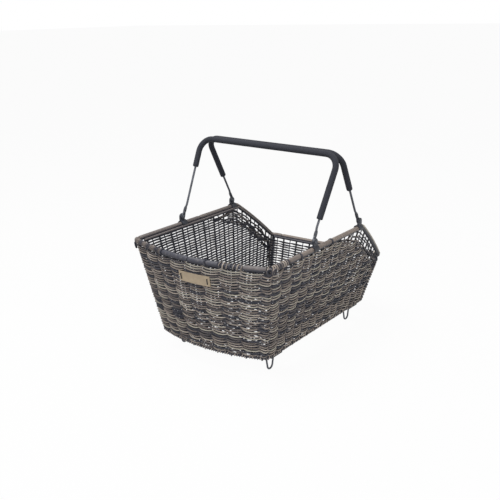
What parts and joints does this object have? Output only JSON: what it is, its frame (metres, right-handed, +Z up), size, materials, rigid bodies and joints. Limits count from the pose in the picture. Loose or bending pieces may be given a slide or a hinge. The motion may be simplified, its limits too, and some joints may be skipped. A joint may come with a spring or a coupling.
{
  "type": "bicycle basket",
  "caption": "Woven cane basket on a wire frame for a bicycle's rear carrier, with a bowed front, a low back, folding carrying handles with foam grips, and wire hooks underneath.",
  "frame": {"origin": "middle of the basket's length and width, level with the lowest points of the hooks", "axes": "+X across the basket to its right, +Y along it from the bowed front to the low back, +Z up"},
  "size_m": [0.3488, 0.4924, 0.4112],
  "materials": {
    "cane": "grooved cane of extruded plastic, taupe with darker streaks",
    "dark_cane": "grooved cane of extruded plastic, charcoal blue",
    "frame_steel": "dark powder coat, satin",
    "wire": "zinc plated wire, dull",
    "black_plastic": "moulded, satin",
    "foam": "closed-cell foam, matte",
    "plate": "smooth, matte, no lettering"
  },
  "bodies": {
    "basket": {"rim_rod": "frame_steel", "border_front": "cane", "border_back": "cane", "border_corner_front_left": "dark_cane", "border_corner_front_right": "dark_cane", "border_side_left": "cane", "border_side_right": "cane", "border_slope_left": "cane", "border_slope_right": "cane", "border_corner_back_left": "dark_cane", "border_corner_back_right": "dark_cane", "front_frame": "frame_steel", "right_frame": "frame_steel", "back_frame": "frame_steel", "left_frame": "frame_steel", "corner_post_front_left": "frame_steel", "corner_post_front_right": "frame_steel", "corner_post_back_right": "frame_steel", "corner_post_back_left": "frame_steel", "floor_frame": "frame_steel", "wall_weave_lower": "cane", "wall_weave_upper": "cane", "floor_weave": "cane", "base_border_front": "dark_cane", "base_border_right": "dark_cane", "base_border_back": "dark_cane", "base_border_left": "dark_cane", "floor_bar_front": "frame_steel", "floor_bar_rear": "frame_steel", "hook_front_left": "wire", "hook_front_right": "wire", "hook_rear_left": "wire", "hook_rear_right": "wire", "bracket_front_left": "black_plastic", "bracket_front_right": "black_plastic", "bracket_rear_left": "black_plastic", "bracket_rear_right": "black_plastic", "rivet_front_left": "wire", "rivet_front_right": "wire", "rivet_rear_left": "wire", "rivet_rear_right": "wire", "name_plate": "plate", "plate_staple_left": "frame_steel", "plate_staple_right": "frame_steel"},
    "front_handle": {"front_handle_rod": "wire", "front_handle_grip": "foam"},
    "rear_handle": {"rear_handle_rod": "wire", "rear_handle_grip": "foam"}
  },
  "joints": [
    {"name": "front_handle_hinge", "type": "hinge", "parent": "basket", "child": "front_handle", "pos_m": [0, -0.0663, 0.2512], "axis": [1, 0, 0], "range_deg": [0, 118]},
    {"name": "rear_handle_hinge", "type": "hinge", "parent": "basket", "child": "rear_handle", "pos_m": [0, 0.1057, 0.2512], "axis": [1, 0, 0], "range_deg": [-129, 0]}
  ]
}
